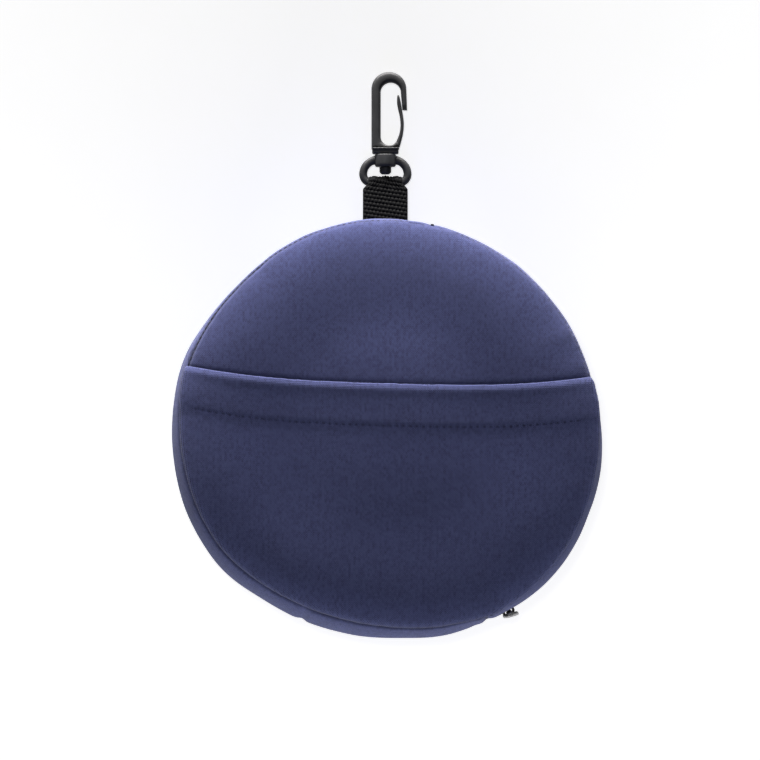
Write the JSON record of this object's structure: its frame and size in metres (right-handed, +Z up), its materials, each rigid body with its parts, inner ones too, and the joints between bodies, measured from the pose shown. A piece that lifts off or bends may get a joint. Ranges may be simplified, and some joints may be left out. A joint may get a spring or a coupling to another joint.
{
  "type": "travel pillow pouch",
  "caption": "Round stuffed travel pillow pouch with a domed front, patch pocket, zipped side gusset and a swivel snap hook on a webbing loop.",
  "frame": {"origin": "middle of the flat rest face on the back panel, on the surface that the pouch lies on", "axes": "+Z up through the stuffed thickness, from back panel to front panel; +Y towards the snap hook; +X towards the zip side"},
  "size_m": [0.2322, 0.3177, 0.0929],
  "materials": {
    "pouch_knit": "matte",
    "sewing_thread": "matte",
    "zip_tape": "matte",
    "zip_coil": "satin",
    "slider_black": "satin",
    "pull_metal": "satin",
    "webbing": "matte",
    "clip_plastic": "satin",
    "foam": "matte"
  },
  "bodies": {
    "pouch": {"front_panel": "pouch_knit", "back_panel": "pouch_knit", "gusset_fixed": "pouch_knit", "gusset_front_strip": "pouch_knit", "gusset_back_strip": "pouch_knit", "pocket_panel": "pouch_knit", "pocket_hem_stitches": "sewing_thread", "front_seam_thread": "sewing_thread", "back_seam_thread": "sewing_thread", "zip_tape_front": "zip_tape", "zip_tape_back": "zip_tape", "zip_coil_front": "zip_coil", "zip_coil_back": "zip_coil", "zip_top_stops": "zip_coil", "zip_bottom_stop": "zip_coil", "pillow_core": "foam", "pillow_cover": "pouch_knit"},
    "zip_slider": {"zip_slider_body": "slider_black"},
    "zip_pull": {"zip_pull_tab": "pull_metal"},
    "web": {"web_loop": "webbing"},
    "ring": {"swivel_ring": "clip_plastic"},
    "hook": {"hook_body": "clip_plastic"},
    "gate": {"hook_gate": "clip_plastic"}
  },
  "joints": [
    {"name": "zip_travel", "type": "hinge", "parent": "pouch", "child": "zip_slider", "pos_m": [0, 0, 0.044], "axis": [0, 0, 1], "range_deg": [0, 128]},
    {"name": "pull_swing", "type": "hinge", "parent": "zip_slider", "child": "zip_pull", "pos_m": [0.06704, -0.09953, 0.044], "axis": [-0.8294, -0.5587, 0], "range_deg": [0, 150]},
    {"name": "web_bend", "type": "hinge", "parent": "pouch", "child": "web", "pos_m": [-0.0015, 0.1118, 0.013], "axis": [1, 0, 0], "range_deg": [-60, 45]},
    {"name": "ring_swing", "type": "hinge", "parent": "web", "child": "ring", "pos_m": [-0.0015, 0.13958, 0.0058], "axis": [1, 0, 0], "range_deg": [-90, 60]},
    {"name": "hook_swivel", "type": "hinge", "parent": "ring", "child": "hook", "pos_m": [-0.0015, 0.15158, 0.0058], "axis": [0, 1, 0], "continuous": true},
    {"name": "gate_bend", "type": "hinge", "parent": "hook", "child": "gate", "pos_m": [0.0057, 0.16158, 0.0058], "axis": [0, 0, 1], "range_deg": [0, 16], "stiffness_Nm_per_rad": 0.05, "springref_deg": -2.86}
  ]
}
